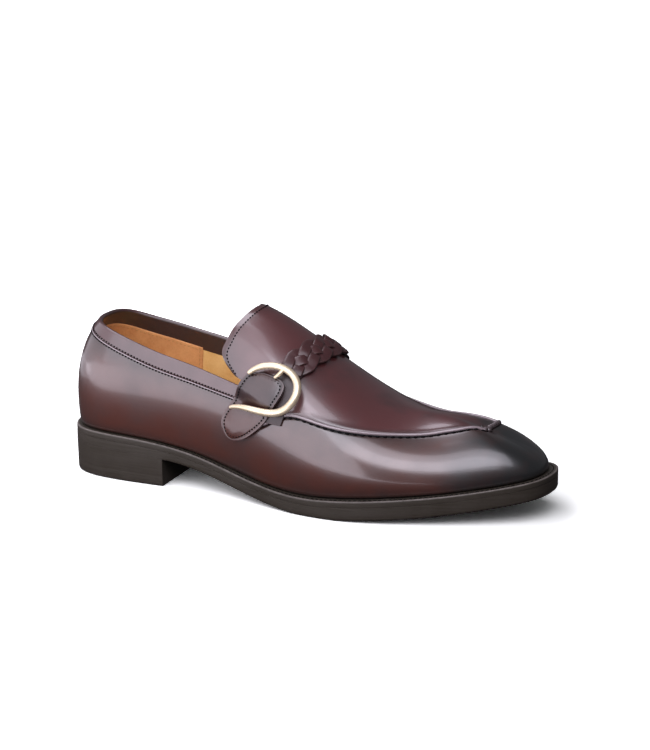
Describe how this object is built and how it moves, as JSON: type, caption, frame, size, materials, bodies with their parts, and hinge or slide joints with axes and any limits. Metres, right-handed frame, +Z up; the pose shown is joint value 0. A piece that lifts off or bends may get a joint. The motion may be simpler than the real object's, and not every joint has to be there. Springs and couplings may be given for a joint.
{
  "type": "horsebit loafer",
  "caption": "Men's leather dress loafer, right shoe: plaited strap over the instep, hook buckle on the outer side, apron toe, leather sole with stacked heel.",
  "frame": {"origin": "centre of the bounding box at the floor, under the heel and sole", "axes": "+X heel to toe, +Y to the inner (medial) side, +Z up"},
  "size_m": [0.3044, 0.1034, 0.1109],
  "materials": {
    "burnished_calf": "burnished calf, burgundy brown, toe waxed near black",
    "dark_calf": "dark brown calf, satin",
    "sole_edge": "black-brown stained and waxed edge",
    "lining_leather": "natural tan lining leather",
    "pale_gold": "polished pale gold plating"
  },
  "bodies": {
    "root": {"outsole": "sole_edge", "heel": "sole_edge", "welt": "sole_edge", "insole": "lining_leather", "upper": "burnished_calf", "tongue": "burnished_calf", "strap_end": "burnished_calf", "under_strap": "dark_calf", "inner_strap": "dark_calf", "braid": "dark_calf", "buckle": "pale_gold"}
  },
  "joints": []
}
